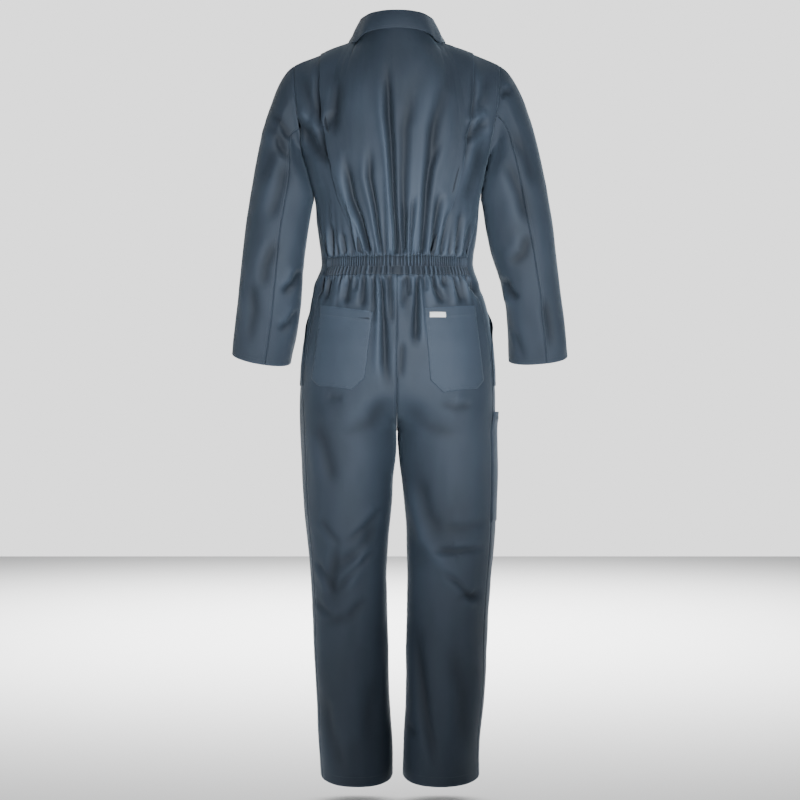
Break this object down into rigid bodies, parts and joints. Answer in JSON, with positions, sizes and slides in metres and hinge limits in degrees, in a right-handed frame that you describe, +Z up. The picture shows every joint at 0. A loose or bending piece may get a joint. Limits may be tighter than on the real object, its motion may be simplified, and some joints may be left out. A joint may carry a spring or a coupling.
{
  "type": "boiler suit",
  "caption": "Long-sleeved one-piece work suit with a turn-down collar, pleated back, elastic back waist, straight legs and patch pockets, filled out as if worn.",
  "frame": {"origin": "middle of the neck, level with the highest points of the shoulders, where a wearer's shoulders hold the suit", "axes": "+Z up, the suit's front faces -Y, the wearer's left is +X"},
  "size_m": [0.7668, 0.2922, 1.7157],
  "materials": {
    "cloth": "dark slate blue-grey twill with a faint sheen, self-coloured stitching",
    "label": "bare white woven tab",
    "stud": "dark metal press studs"
  },
  "bodies": {
    "root": {"back_centre": "cloth", "back_side_left": "cloth", "back_side_right": "cloth", "waistband_back": "cloth", "front_left": "cloth", "front_right": "cloth", "leg_back_left": "cloth", "leg_back_right": "cloth", "sleeve_top_left": "cloth", "sleeve_top_right": "cloth", "sleeve_under_left": "cloth", "sleeve_under_right": "cloth", "collar": "cloth", "placket": "cloth", "back_pocket_left": "cloth", "back_pocket_right": "cloth", "hip_pocket_left": "cloth", "hip_pocket_right": "cloth", "rule_pocket": "cloth", "label": "label", "stud_1": "stud", "stud_2": "stud", "stud_3": "stud", "stud_4": "stud", "stud_5": "stud", "stud_6": "stud", "stud_7": "stud", "stud_8": "stud"}
  },
  "joints": []
}
